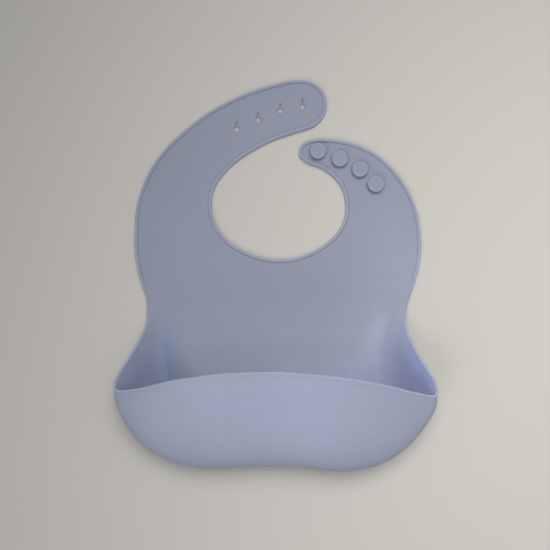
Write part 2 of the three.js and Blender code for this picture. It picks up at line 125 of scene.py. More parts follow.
# cross-section of the edge: inset from the edge, back surface, front with the bead, front without
EDGE_RINGS = np.array([
    (0.00, 0.62, 1.55, 1.42), (0.14, 0.26, 2.12, 1.76), (0.42, 0.06, 2.62, 1.94),
    (0.85, 0.00, 2.93, 2.00), (1.30, 0.00, 3.02, 2.00), (1.75, 0.00, 2.93, 2.00),
    (2.15, 0.00, 2.62, 2.00), (2.42, 0.00, 2.22, 2.00), (2.60, 0.00, 1.95, 2.00),
    (2.80, 0.00, 1.78, 2.00), (3.05, 0.00, 1.76, 2.00), (3.35, 0.00, 1.88, 2.00),
    (3.80, 0.00, 1.98, 2.00), (4.40, 0.00, 2.00, 2.00)])
INSET, BACK, BEADED, PLAIN = EDGE_RINGS.T
# extra thickness of the rolled lip at each inset
LIP = (0.45 * (0.36 + 0.64 * np.clip(INSET / 0.9, 0, 1) ** 0.7)
       * (1 - np.clip((INSET - 1.3) / 4.2, 0, 1)) ** 1.6)


# ------------------------------------------------------------------ curves
def catmull(points, steps=24):
    """Centripetal Catmull-Rom curve through the points, with open ends."""
    p = [np.array((*q, 0.0)[:3], float) for q in points]
    p = [2 * p[0] - p[1]] + p + [2 * p[-1] - p[-2]]
    out = []
    for k in range(1, len(p) - 2):
        p0, p1, p2, p3 = p[k - 1:k + 3]
        d0, d1, d2 = (max(np.linalg.norm(b - a) ** 0.5, 1e-4)
                      for a, b in ((p0, p1), (p1, p2), (p2, p3)))
        t1 = ((p1 - p0) / d0 - (p2 - p0) / (d0 + d1) + (p2 - p1) / d1) * d1
        t2 = ((p2 - p1) / d1 - (p3 - p1) / (d1 + d2) + (p3 - p2) / d2) * d1
        square = -3 * p1 + 3 * p2 - 2 * t1 - t2
        cube = 2 * p1 - 2 * p2 + t1 + t2
        for t in np.linspace(0, 1, steps, endpoint=False):
            out.append(p1 + t1 * t + square * t * t + cube * t ** 3)
    out.append(p[-2])
    return np.array(out)


def lengths(curve):
    """Length along the curve at each of its points."""
    return np.r_[0, np.cumsum(np.linalg.norm(np.diff(curve, axis=0), axis=1))]


def at_length(curve, t):
    s = lengths(curve)
    return np.stack([np.interp(t, s, curve[:, k]) for k in range(curve.shape[1])], -1)


def even(curve, count):
    return at_length(curve, np.linspace(0, lengths(curve)[-1], count))


def bezier(p0, p1, p2, p3, count):
    t = np.linspace(0, 1, count)[:, None]
    return ((1 - t) ** 3 * p0 + 3 * (1 - t) ** 2 * t * p1
            + 3 * (1 - t) * t * t * p2 + t ** 3 * p3)


def smooth_line(curve, passes):
    """Takes out short waves without shrinking the line."""
    curve = curve.copy()
    for _ in range(passes):
        for factor in (0.5, -0.515):
            curve[1:-1] += factor * (0.5 * (curve[:-2] + curve[2:]) - curve[1:-1])
    return curve


def sstep(a, b, x):
    """Smooth step from 0 at a to 1 at b."""
    t = np.clip((x - a) / (b - a), 0, 1)
    return t * t * (3 - 2 * t)


def window(x, a, b, c, d):
    """Rises from a to b and falls from c to d."""
    return sstep(a, b, x) * (1 - sstep(c, d, x))


def bell(x, centre, width):
    return np.exp(-((x - centre) / width) ** 2)


def distance(points, curve):
    """Distance from each point to the nearest point of the curve."""
    return np.linalg.norm(points[:, None] - curve[None], axis=2).min(1)


# ------------------------------------------------------------------ mesh helpers
def inside(polygon, points):
    x, y = points.T
    hit = np.zeros(len(points), bool)
    for (ax, ay), (bx, by) in zip(polygon, np.roll(polygon, -1, axis=0)):
        crosses = (ay > y) != (by > y)
        hit ^= crosses & (x < (bx - ax) * (y - ay) / (by - ay + 1e-30) + ax)
    return hit


def fill_region(loops, spacing, clear):
    """Triangles inside the first loop and outside the others, over an even grid of points.

    Returns the triangles, indexed into the loops followed by the grid, and the grid points.
    """
    outline, *openings = loops
    low, high = outline.min(0), outline.max(0)
    grid = []
    y = low[1] + spacing * 0.5
    while y < high[1]:
        xs = np.arange(low[0] + (len(grid) % 2) * spacing / 2, high[0], spacing)
        grid.append(np.c_[xs, np.full(len(xs), y)])
        y += spacing * 0.866
    grid = np.vstack(grid)

    keep = inside(outline, grid) & (distance(grid, outline) > clear)
    for loop in openings:
        keep &= (distance(grid, loop) > 0.55) & ~inside(loop, grid)
    grid = grid[keep]

    verts, edges = [], []
    for loop in loops:
        base, n = len(verts), len(loop)
        verts += [Vector((float(x), float(y))) for x, y in loop]
        edges += [(base + i, base + (i + 1) % n) for i in range(n)]
    verts += [Vector((float(x), float(y))) for x, y in grid]
    placed, _, faces, sources, _, _ = delaunay_2d_cdt(verts, edges, [], 0, 1e-5)
    source = np.array([s[0] if s else -1 for s in sources])
    assert (source >= 0).all(), "the fill made a crossing"

    xy = np.array([(v.x, v.y) for v in placed])
    tri = np.array([f for f in faces if len(f) == 3])
    middle = xy[tri].mean(1)
    good = inside(outline, middle)
    for loop in openings:
        good &= ~inside(loop, middle)
    tri = tri[good]
    a, b, c = xy[tri[:, 0]], xy[tri[:, 1]], xy[tri[:, 2]]
    area = (b[:, 0] - a[:, 0]) * (c[:, 1] - a[:, 1]) - (b[:, 1] - a[:, 1]) * (c[:, 0] - a[:, 0])
    tri[area < 0] = tri[area < 0][:, ::-1]
    return source[tri[np.abs(area) > 1e-9]], grid


def to_object(name, bm, material):
    mesh = bpy.data.meshes.new(name)
    bm.to_mesh(mesh)
    bm.free()
    co = np.empty(len(mesh.vertices) * 3)
    mesh.vertices.foreach_get("co", co)
    mesh.vertices.foreach_set("co", co * MM)
    mesh.polygons.foreach_set("use_smooth", [True] * len(mesh.polygons))
    mesh.update()
    mesh.materials.append(material)
    obj = bpy.data.objects.new(name, mesh)
    bpy.context.scene.collection.objects.link(obj)
    return obj


# A cut is an upright plane: (x, y) of a point on it, and its direction.
def keep_side(bm, cut, beyond):
    """Keeps what lies beyond the cut, or else what lies before it."""
    at, direction = cut
    bmesh.ops.bisect_plane(bm, geom=bm.verts[:] + bm.edges[:] + bm.faces[:], dist=1e-5,
                           plane_co=Vector((*at, 0)), plane_no=Vector((*direction, 0)).normalized(),
                           clear_inner=beyond, clear_outer=not beyond)
    return bm


def piece_of(source, *sides):
    """A copy of the source, cut by each (cut, beyond) in turn."""
    bm = source.copy()
    for cut, beyond in sides:
        keep_side(bm, cut, beyond)
    return bm


def close_cuts(bm, cuts):
    """Fills the flat openings left by the cuts; their outlines stay crisp edges."""
    for at, direction in cuts:
        normal = Vector((*direction, 0)).normalized()
        point = Vector((*at, 0))
        rim = [e for e in bm.edges if e.is_boundary
               and all(abs((v.co - point).dot(normal)) < 1e-3 for v in e.verts)]
        if not rim:
            continue
        for e in rim:
            e.smooth = False
        bmesh.ops.triangle_fill(bm, use_beauty=True, use_dissolve=False, edges=rim, normal=normal)
    bmesh.ops.recalc_face_normals(bm, faces=bm.faces[:])


def keep_strap(bm, side):
    """Keeps what is joined to the outermost point; side is -1 for left, 1 for right."""
    start = max(bm.verts, key=lambda v: side * v.co.x)
    seen, todo = {start}, [start]
    while todo:
        v = todo.pop()
        for e in v.link_edges:
            other = e.other_vert(v)
            if other not in seen:
                seen.add(other)
                todo.append(other)
    bmesh.ops.delete(bm, geom=[v for v in bm.verts if v not in seen], context="VERTS")
    return bm


# ------------------------------------------------------------------ materials
MIX_FACTOR, MIX_A, MIX_B = 0, 6, 7      # colour sockets of a Mix node

# painted light and shade, each an attribute and the tint it multiplies into the colour: painted highlight
# and sheen, painted shade tinted blue in the left gusset and by the left crease, and painted blue bounce
# light in the right gusset where the skin faces itself
LIGHT_AND_SHADE_TINTS = {"painted_light": (1.29, 1.30, 1.33), "painted_shade_left": (0.83, 0.97, 1.21), "painted_blue_bounce": (1.02, 1.07, 1.38)}


def silicone(name, color, roughness):
    material = bpy.data.materials.new(name)
    material.use_nodes = True
    tree = material.node_tree
    tree.nodes.clear()

    def node(kind, inputs, **settings):
        """Adds a node; an input is either a value or an output socket to link."""
        new = tree.nodes.new("ShaderNode" + kind)
        for key, value in settings.items():
            setattr(new, key, value)
        for key, value in inputs.items():
            if isinstance(value, bpy.types.NodeSocket):
                tree.links.new(value, new.inputs[key])
            else:
                new.inputs[key].default_value = value
        return new

    def noise(scale, detail, roughness=0.5):
        return node("TexNoise", {"Scale": scale, "Detail": detail, "Roughness": roughness,
                                 "Vector": coords.outputs["Object"]}).outputs["Fac"]

    def remap(source, from_min, from_max, to_min, to_max):
        values = (source, from_min, from_max, to_min, to_max)
        return node("MapRange", dict(enumerate(values))).outputs[0]

    def toned(gain, lift=0.0):
        return (*[min(1, c * gain + lift) for c in color], 1)

    bsdf = node("BsdfPrincipled", {
        "Specular IOR Level": 0.30, "Sheen Weight": 0.12, "Sheen Roughness": 0.5,
        "Subsurface Weight": 0.12, "Subsurface Radius": (0.6, 0.7, 1.0),
        "Subsurface Scale": 0.0012})
    node("OutputMaterial", {0: bsdf.outputs[0]})
    coords = node("TexCoord", {})
    cloud = noise(scale=14, detail=2)
    mottle = noise(scale=120, detail=3)
    grain = noise(scale=1900, detail=2, roughness=0.6)
    dust = noise(scale=620, detail=4, roughness=0.75)

    # colour: a cloudy drift over the sheet, a faint mottle and a few pale specks of dust
    drift = node("Math", {0: remap(cloud, 0.3, 0.7, 0.1, 0.7),
                          1: remap(mottle, 0.3, 0.7, -0.12, 0.30)}, operation="ADD")
    clouded = node("Mix", {MIX_FACTOR: drift.outputs[0], MIX_A: toned(0.955),
                           MIX_B: toned(1.035)}, data_type="RGBA")
    surface = node("Mix", {MIX_FACTOR: remap(dust, 0.74, 0.80, 0.0, 0.35),
                           MIX_A: clouded.outputs[2], MIX_B: toned(1.25, lift=0.03)},
                   data_type="RGBA")
    # multiply the painted light, painted shade and painted bounce into the colour
    for attribute, tint in LIGHT_AND_SHADE_TINTS.items():
        painted = node("Attribute", {}, attribute_name=attribute)
        surface = node("Mix", {MIX_FACTOR: painted.outputs["Fac"], MIX_A: surface.outputs[2],
                               MIX_B: (*tint, 1)}, data_type="RGBA", blend_type="MULTIPLY")
    tree.links.new(surface.outputs[2], bsdf.inputs["Base Color"])

    # roughness: a little uneven, as moulded silicone is where it has been handled
    tree.links.new(remap(mottle, 0.3, 0.7, roughness - 0.05, roughness + 0.06),
                   bsdf.inputs["Roughness"])

    # bump: the fine grain of a blasted mould over very slow waviness
    fine = node("Bump", {"Strength": 0.10, "Distance": 0.00006, "Height": grain})
    slow = node("Bump", {"Strength": 0.35, "Distance": 0.00035,
                         "Height": noise(scale=38, detail=1)})
    tree.links.new(slow.outputs[0], fine.inputs["Normal"])
    tree.links.new(fine.outputs[0], bsdf.inputs["Normal"])
    return material


skin_material = silicone("moulded_silicone", color=(0.346, 0.376, 0.480), roughness=0.58)
# the studs take a darker copy of the skin's colour as painted shade, with their own roughness
stud_shaded_material = silicone("moulded_silicone_stud", color=(0.317, 0.347, 0.447), roughness=0.52)


def painted_sheen_patch(x, y):
    """Painted sheen: a highlight lightening the colour over the right side of the chest."""
    return 0.34 * bell(x, 90, 36.0) * bell(y, 18, 42.0)


# ------------------------------------------------------------------ the free edge
# one line from the left corner over the straps to the right corner
free_edge = catmull(EDGE_LEFT[::-1] + EDGE_UPPER + EDGE_RIGHT, 40)
free_edge = even(free_edge, int(lengths(free_edge)[-1] / 0.4))
free_edge = smooth_line(free_edge, 260)
above_fold = free_edge[:, 1] > LOWER_FOLD_Y
first_above = int(np.argmax(above_fold))
last_above = len(free_edge) - 1 - int(np.argmax(above_fold[::-1]))


def fold_crossing(i):
    """Where the free edge crosses the lower fold, between its points i and i + 1."""
    a, b = free_edge[i:i + 2]
    return a + (b - a) * (LOWER_FOLD_Y - a[1]) / (b[1] - a[1])


# the left edge runs from the waist down, the right one from the corner up
left_edge = np.vstack([fold_crossing(first_above - 1), free_edge[:first_above][::-1]])
right_edge = np.vstack([free_edge[last_above + 1:][::-1], fold_crossing(last_above)])

# ------------------------------------------------------------------ flat upper sheet
BEAD_HIGHLIGHT = (1.0, 0.9, 0.7, 0.55, 0.5, 0.45, 0.3, 0.1)      # painted highlight of the outermost rings of the bead


def keyhole(cx, cy, grow):
    """Outline of a slit with a round eye in it, grown outwards all round."""
    half, eye, up, down = 0.36 + grow, 1.85 + grow, 4.9 + grow, 3.7 + grow
    neck = math.asin(half / eye)
    quarter = np.linspace(0, math.pi / 2, 4)
    right = [(half * math.sin(t), up - half + half * math.cos(t)) for t in quarter]
    right += [(eye * math.sin(t), eye * math.cos(t)) for t in np.linspace(neck, math.pi - neck, 13)]
    right += [(half * math.cos(t), -down + half - half * math.sin(t)) for t in quarter]
    left = [(-x, y) for x, y in reversed(right[1:-1])]
    return np.array([(cx + x, cy + y) for x, y in right + left])


def upper_sheet():
    """The flat sheet with its beaded edge and slits, running on a little below the waist."""
    line = free_edge[first_above - 20:last_above + 21, :2]
    line = even(line, int(lengths(line)[-1] / 1.25))
    tangent = np.gradient(line, axis=0)
    tangent /= np.linalg.norm(tangent, axis=1)[:, None]
    inward = np.c_[tangent[:, 1], -tangent[:, 0]]
    bead = sstep(3.0, 15.0, line[:, 1])         # the bead fades out towards the waist
    rings = [line + inward * inset for inset in INSET]
    slit_rims = [keyhole(x, y, SLIT_FLARE) for x, y in SLITS]
    slit_walls = [keyhole(x, y, 0.0) for x, y in SLITS]
    triangles, grid = fill_region([rings[-1]] + slit_rims, spacing=3.0, clear=1.3)

    top, bottom = [], []
    for xy, back, beaded, plain in zip(rings, BACK, BEADED, PLAIN):
        top += [(x, y, plain + (beaded - plain) * b) for (x, y), b in zip(xy, bead)]
        bottom += [(x, y, back) for x, y in xy]
    flat = np.vstack(slit_rims + [grid])
    top += [(x, y, SHEET_T) for x, y in flat]
    bottom += [(x, y, 0.0) for x, y in flat]
    walls_start = len(top)
    wall_points = np.vstack(slit_walls)
    top += [(x, y, SHEET_T - SLIT_BEVEL) for x, y in wall_points]
    bottom += [(x, y, SLIT_BEVEL) for x, y in wall_points]

    # faces of the top, mirrored onto the bottom, and the top edges of the upright walls
    n = len(line)
    fill_start = (len(rings) - 1) * n           # the fill begins with the last ring
    faces = [(k + i, k + n + i, k + n + i + 1, k + i + 1)
             for k in range(0, fill_start, n) for i in range(n - 1)]
    faces += [tuple(int(v) + fill_start for v in t) for t in triangles]
    walls = [(i, i + 1) for i in range(n - 1)]
    rim_at, wall_at = fill_start + n, walls_start
    for slit in slit_walls:
        size = len(slit)
        for i in range(size):
            j = (i + 1) % size
            faces.append((rim_at + i, wall_at + i, wall_at + j, rim_at + j))
            walls.append((wall_at + i, wall_at + j))
        rim_at += size
        wall_at += size

    bm = bmesh.new()
    painted_light = bm.verts.layers.float.new("painted_light")
    upper = [bm.verts.new(c) for c in top]
    under = [bm.verts.new(c) for c in bottom]
    # painted highlight along the bead, fading with it towards the waist
    for k, ring_highlight in enumerate(BEAD_HIGHLIGHT):
        for i in range(n):
            upper[k * n + i][painted_light] = ring_highlight * bead[i]
    # painted sheen over the right side of the chest
    for v in upper[:walls_start]:
        v[painted_light] += painted_sheen_patch(v.co.x, v.co.y)
    # painted light on the slit walls, standing in for light reaching into the slits
    for v in upper[walls_start:] + under[walls_start:]:
        v[painted_light] = 1.0
    for f in faces:
        bm.faces.new([upper[i] for i in f])
        bm.faces.new([under[i] for i in reversed(f)])
    for a, b in walls:
        bm.faces.new([upper[a], upper[b], under[b], under[a]])
    bmesh.ops.recalc_face_normals(bm, faces=bm.faces[:])
    return bm


# ------------------------------------------------------------------ the cuts and upper pieces
UP = (0, 1)


def before(flex, half):
    """A cut placed before a flex line, so that the bend is centred on the line."""
    (x, y), (dx, dy) = flex
    return (x - dx * half, y - dy * half), (dx, dy)


BELOW = (0, LOWER_FOLD_Y - FOLD_HALF), UP
WAIST = (0, LOWER_FOLD_Y), UP
CHEST = (0, LOWER_FOLD_Y + FOLD_HALF), UP
SHOULDER_L = (0, SHOULDER_Y), UP
SHOULDER_R = (0, SHOULDER_Y - SHOULDER_R_HALF), UP
HOLE_CUT_1, HOLE_CUT_2 = before(HOLE_FLEX_1, HOLE_FLEX_HALF), before(HOLE_FLEX_2, HOLE_FLEX_HALF)
STUD_CUT = before(STUD_FLEX, STUD_FLEX_HALF)
RIGHT_STRAP_FROM_Y = 46         # faces right of centre reaching above this take the right cut


def yoke_piece(sheet):
    """The chest up to the left shoulder, trimmed lower down at the right shoulder."""
    bm = piece_of(sheet, (CHEST, True), (SHOULDER_L, False))
    part = [f for f in bm.faces if min(v.co.x for v in f.verts) > 0
            and max(v.co.y for v in f.verts) > RIGHT_STRAP_FROM_Y]
    part += list({e for f in part for e in f.edges}) + list({v for f in part for v in f.verts})
    bmesh.ops.bisect_plane(bm, geom=part, dist=1e-5, plane_co=(*SHOULDER_R[0], 0),
                           plane_no=(*UP, 0), clear_inner=False, clear_outer=True)
    return bm


sheet = upper_sheet()
hole_strap = keep_strap(piece_of(sheet, (SHOULDER_L, True)), -1)
stud_strap = keep_strap(piece_of(sheet, (SHOULDER_R, True)), 1)
upper_skins = {}
for part_name, bm, cuts in (
        ("fold_band", piece_of(sheet, (WAIST, True), (CHEST, False)), (WAIST, CHEST)),
        ("yoke", yoke_piece(sheet), (CHEST, SHOULDER_L, SHOULDER_R)),
        ("hole_strap_root", piece_of(hole_strap, (HOLE_CUT_1, False)), (SHOULDER_L, HOLE_CUT_1)),
        ("hole_strap_mid", piece_of(hole_strap, (HOLE_CUT_1, True), (HOLE_CUT_2, False)),
         (HOLE_CUT_1, HOLE_CUT_2)),
        ("hole_strap_tip", piece_of(hole_strap, (HOLE_CUT_2, True)), (HOLE_CUT_2,)),
        ("stud_strap_root", piece_of(stud_strap, (STUD_CUT, False)), (SHOULDER_R, STUD_CUT)),
        ("stud_strap_tip", piece_of(stud_strap, (STUD_CUT, True)), (STUD_CUT,))):
    close_cuts(bm, cuts)
    upper_skins[part_name] = to_object(part_name + "_skin", bm, skin_material)

# ------------------------------------------------------------------ lower panel, gussets, pocket
# One surface of columns, each from the free edge in to the crease. The columns run down the
# left gusset, along the pocket and up the right gusset.
GUSSET_COLS, POCKET_COLS = 46, 150
LEFT_COL = GUSSET_COLS                  # first column past the left corner
RIGHT_COL = LEFT_COL + POCKET_COLS      # first column of the right gusset
COLS = RIGHT_COL + GUSSET_COLS
col = np.arange(COLS)
CREASE_ROWS, WALL_ROWS = 22, 34         # rows from crease to belly, and from belly to edge rings
EDGE_ZONE = 6.0
CORNER_OVERLAP = 12                     # columns past a corner that still count as its side
PANEL_LIFT = 4.0

QUARTER_ARC = 0.5523                    # Bezier handle length of a quarter circle
CREASE_HANDLE, FAR_HANDLE = 0.38, 0.42  # handle lengths of the flatter curves

# painted highlight of the edge rows, and how much of the painted shade and painted blue bounce they take,
# from the edge inwards
EDGE_HIGHLIGHT = (1.3, 1.3, 1.2, 0.9, 0.35)
EDGE_SHADE = (0.0, 0.0, 0.0, 0.1, 0.6)


def gusset_curve(crease, edge):
    flat = (edge - crease) * (1, 1, 0)
    edge_handle = edge - FAR_HANDLE * flat
    edge_handle[2] = edge[2] * 0.50
    return bezier(crease, crease + CREASE_HANDLE * flat, edge_handle, edge, 160)


def pocket_curves(crease, out, rim, roundness):
    """Curves from the crease to the belly point, and on to the rim.

    Roundness goes from 0 at a corner, where the wall is a plain slope, to 1.
    """
    flat = (out - crease) * (1, 1, 0)
    run = np.linalg.norm(flat)
    slope = np.array((flat[0], flat[1], out[2]))
    slope /= np.linalg.norm(slope)
    up = slope * (1 - roundness) + np.array((0, 0, 1.0)) * roundness
    up /= np.linalg.norm(up)
    crease_handle = crease + flat * (CREASE_HANDLE + (QUARTER_ARC - CREASE_HANDLE) * roundness)
    under_handle = out - up * (out[2] * QUARTER_ARC * roundness
                               + run * FAR_HANDLE * (1 - roundness))
    overhang = (out - rim) * (1, 1, 0)
    depth = np.linalg.norm(overhang)
    over_handle = out + up * (QUARTER_ARC * (rim[2] - out[2]) * roundness
                              + 0.3 * depth * (1 - roundness))
    rim_handle = rim + 0.5 * overhang
    rim_handle[2] = rim[2] - 0.06 * depth
    return (bezier(crease, crease_handle, under_handle, out, 120),
            bezier(out, over_handle, rim_handle, rim, 160))


def column(curve, wall=0):
    """Points from the edge to the crease; wall is the length from the edge to the belly."""
    curve = curve[::-1]
    total = lengths(curve)[-1]
    rest = total - EDGE_ZONE
    natural = EDGE_ZONE + rest * WALL_ROWS / (CREASE_ROWS + WALL_ROWS)
    split = natural
    if wall > 0:
        split = wall + (natural - wall) * (1 - sstep(natural * 0.6, natural * 1.5, wall))
    split = max(split, EDGE_ZONE + rest * 0.3)
    return at_length(curve, np.r_[INSET, np.linspace(INSET[-1], split, WALL_ROWS + 1)[1:],
                                  np.linspace(split, total, CREASE_ROWS + 1)[1:]])


def gusset_columns(edge, crease):
    return [column(gusset_curve(k, e))
            for e, k in zip(even(edge, GUSSET_COLS), even(crease, GUSSET_COLS))]


def pocket_columns():
    lines = [catmull(points) for points in (CREASE_POCKET, BELLY, RIM)]
    belly_length = lengths(lines[1])[-1]
    columns = []
    for u in np.linspace(0, 1, POCKET_COLS + 2)[1:-1]:
        crease, out, rim = (at_length(c, u * lengths(c)[-1]) for c in lines)
        roundness = float(sstep(0, 40, min(u, 1 - u) * belly_length))
        lower, upper = pocket_curves(crease, out, rim, roundness)
        columns.append(column(np.vstack([lower, upper[1:]]), lengths(upper)[-1]))
    return columns


def near_corners(width):
    return np.maximum(bell(col, LEFT_COL, width), bell(col, RIGHT_COL, width))


def back_surface():
    """Back of the raised skin as an array of columns x rows x 3."""
    surface = np.array(gusset_columns(left_edge, catmull(CREASE_LEFT)) + pocket_columns()
                       + gusset_columns(right_edge, catmull(CREASE_RIGHT)[::-1]))
    # ease the sharp turn at the two corners
    near = near_corners(7.0)[:, None, None]
    for _ in range(14):
        for factor in (0.5, -0.52):
            step = np.zeros_like(surface)
            step[1:-1] = 0.5 * (surface[:-2] + surface[2:]) - surface[1:-1]
            surface = surface + step * near * factor
    # the corners and the flanks below them stand at their measured places
    z = surface[:, :, 2:].copy()
    corner, flank = sstep(0, 16, z), bell(z, 21.0, 6.5)
    for mask, centre, width, shift in (         # share, column, columns wide, shift in mm
            (corner, LEFT_COL, 6.0, (-1.5, -0.2, 0)),
            (corner, RIGHT_COL - 3, 11.0, (1.5, -0.4, 0)),
            (flank, LEFT_COL + 4, 6.0, (-0.55, 0, 0)),
            (flank, RIGHT_COL - 5, 6.0, (0.35, 0, 0))):
        surface += mask * bell(col, centre, width)[:, None, None] * np.array(shift)
    # a light easing from column to column, with the crease held
    for _ in range(2):
        eased = surface.copy()
        eased[1:-1] = 0.25 * surface[:-2] + 0.5 * surface[1:-1] + 0.25 * surface[2:]
        eased[:, -1] = surface[:, -1]
        surface = eased
    return surface


def surface_normals(s):
    """Smoothed normals towards the front of the skin, upright at the crease and the waist."""
    along = np.empty_like(s)
    along[:, 1:-1] = s[:, 2:] - s[:, :-2]
    along[:, 0] = s[:, 2] - s[:, 0]
    along[:, -1] = s[:, -1] - s[:, -2]
    n = np.cross(np.gradient(s, axis=0), along)
    n /= np.linalg.norm(n, axis=2)[:, :, None] + 1e-12
    for _ in range(4):
        mean = n.copy()
        mean[1:-1, 1:-1] = (n[1:-1, 1:-1] * 2 + n[:-2, 1:-1] + n[2:, 1:-1]
                            + n[1:-1, :-2] + n[1:-1, 2:]) / 6
        mean[1:-1, 0] = (n[1:-1, 0] * 2 + n[:-2, 0] + n[2:, 0]) / 4
        n = mean / np.linalg.norm(mean, axis=2)[:, :, None]
    n[:, -1] = n[0] = n[-1] = (0, 0, 1)
    return n


def thicken(surface, normals):
    """Back and front of the skin, with the rolled lip outside the rim and inside the gussets."""
    inner_rows = surface.shape[1] - len(INSET)
    back = np.r_[BACK, np.zeros(inner_rows)]
    front = np.r_[PLAIN, np.full(inner_rows, SHEET_T)]
    lip = np.r_[LIP, np.zeros(inner_rows)]
    on_rim = window(col, LEFT_COL - 4, LEFT_COL + 10, RIGHT_COL - 10, RIGHT_COL + 4)
    on_gusset = (window(col, 4, 16, COLS - 17, COLS - 5) * (1 - on_rim)
                 * (1 - bell(col, LEFT_COL, 10.0)) * (1 - bell(col, RIGHT_COL, 10.0)))
    thinning = 1 - 0.26 * near_corners(9.0)
    back = back - lip * on_rim[:, None]
    front = (front + 0.7 * lip * on_gusset[:, None]) * thinning[:, None]
    return surface + normals * back[..., None], surface + normals * front[..., None]


def wall_light_and_shade(surface, front):
    """Painted light of the back, then painted light, painted shade and painted blue bounce of the front,
    each columns x rows.
    """
    inner_rows = surface.shape[1] - len(EDGE_HIGHLIGHT)
    z = surface[:, :, 2]
    fade = np.minimum(sstep(0, 20, col), sstep(0, 20, COLS - 1 - col))
    edge = fade[:, None] * np.r_[EDGE_HIGHLIGHT, np.zeros(inner_rows)]
    part = np.r_[EDGE_SHADE, np.ones(inner_rows)]
    # painted light on the upper pocket wall
    crown = sstep(12, 38, z) * window(
        col, LEFT_COL - 8, LEFT_COL + 28, RIGHT_COL - 68, RIGHT_COL + 6)[:, None]
    # painted shade in the left gusset, darkest at its crease and lighter higher up; painted blue bounce in
    # the right gusset, stronger higher up
    left = window(col, 0, GUSSET_COLS * 0.7, LEFT_COL + 2, LEFT_COL + 40)[:, None]
    right = window(col, RIGHT_COL - 40, RIGHT_COL - 2, COLS - GUSSET_COLS * 0.7, COLS)[:, None]
    from_crease = np.linalg.norm(surface[:, :, :2] - surface[:, -1:, :2], axis=2)
    hollow = left * (0.50 + 0.46 * bell(from_crease, 0, 2.6)) * (1 - 0.35 * sstep(4, 27, z))
    right_bounce = right * (0.45 + 0.95 * sstep(2, 24, z))
    return (np.maximum(crown, edge), edge + painted_sheen_patch(front[:, :, 0], front[:, :, 1]),
            hollow * part, right_bounce * part)


def panel_lift(y, from_left, from_right, from_foot):
    """How far the panel rises off the table between its creases."""
    return (PANEL_LIFT * (1 - np.exp(-from_left / 8.5)) * sstep(-3.0, 22.0, from_right)
            * sstep(0, 26, from_foot) * sstep(0, 34, LOWER_FOLD_Y - y))


def panel_light_and_shade(x, y, from_left, from_right):
    """Painted light and painted shade of the panel's top: a painted highlight band by the right crease over
    broad painted light, and painted shade along the left crease.
    """
    drift = 0.17 * np.maximum(0.0, -y - 13.0)
    band = bell(from_right, 7.0 + drift, 7.5) * sstep(-2, 22, -y)
    broad = ((0.74 + 0.20 * sstep(-60, 60, x)) * sstep(12, 50, -y)
             * sstep(0, 9, from_right) * sstep(0, 22, from_left))
    return (0.80 * band + broad + painted_sheen_patch(x, y),
            0.85 * bell(from_left, 0, 6.0) * sstep(2, 26, -y))


def lower_shell():
    surface = back_surface()
    normals = surface_normals(surface)
    surface[:, -1, 2] = 0
    back, front = thicken(surface, normals)
    rows = surface.shape[1]
    bm = bmesh.new()
    for name in LIGHT_AND_SHADE_TINTS:
        bm.verts.layers.float.new(name)
    painted_light, painted_shade_left, painted_blue_bounce = (bm.verts.layers.float[name] for name in LIGHT_AND_SHADE_TINTS)

    # the raised skin
    outer = [[bm.verts.new(p) for p in line] for line in back]
    inner = [[bm.verts.new(p) for p in line] for line in front]
    # painted light, painted shade and painted blue bounce on the raised skin
    back_painted_light, front_painted_light, front_painted_shade, front_painted_bounce = wall_light_and_shade(surface, front)
    for verts, layer, values in ((outer, painted_light, back_painted_light), (inner, painted_light, front_painted_light),
                                 (inner, painted_shade_left, front_painted_shade), (inner, painted_blue_bounce, front_painted_bounce)):
        for i in range(COLS):
            for j in range(rows):
                verts[i][j][layer] = values[i, j]
    for a, b, c, d in zip(inner, inner[1:], outer, outer[1:]):
        for j in range(rows - 1):
            bm.faces.new((a[j], b[j], b[j + 1], a[j + 1]))
            bm.faces.new((c[j], c[j + 1], d[j + 1], d[j]))
        bm.faces.new((c[0], d[0], b[0], a[0]))

    # the panel between the creases
    crease = surface[:, -1, :2]
    triangles, grid = fill_region([crease], spacing=4.0, clear=1.6)
    x, y = grid.T
    from_left = distance(grid, crease[:LEFT_COL + CORNER_OVERLAP])
    from_right = distance(grid, crease[RIGHT_COL - CORNER_OVERLAP:])
    from_foot = distance(grid, crease[LEFT_COL:RIGHT_COL])
    lift = panel_lift(y, from_left, from_right, from_foot)
    panel_top = [bm.verts.new(p) for p in np.c_[grid, SHEET_T + lift]]
    panel_under = [bm.verts.new(p) for p in np.c_[grid, lift]]
    # painted highlight and painted shade on the panel's top
    for v, g, d in zip(panel_top, *panel_light_and_shade(x, y, from_left, from_right)):
        v[painted_light] = g
        v[painted_shade_left] = d
    top = [line[-1] for line in inner] + panel_top
    under = [line[-1] for line in outer] + panel_under
    for t in triangles:
        bm.faces.new([top[k] for k in t])
        bm.faces.new([under[k] for k in reversed(t)])
    bm.normal_update()
    return bm


lower = lower_shell()
waist = piece_of(lower, (BELOW, True))
keep_side(lower, BELOW, False)
close_cuts(waist, (WAIST, BELOW))
close_cuts(lower, (BELOW,))
waist_skin = to_object("waist_skin", waist, skin_material)
pocket_skin = to_object("pocket_and_panel_skin", lower, skin_material)

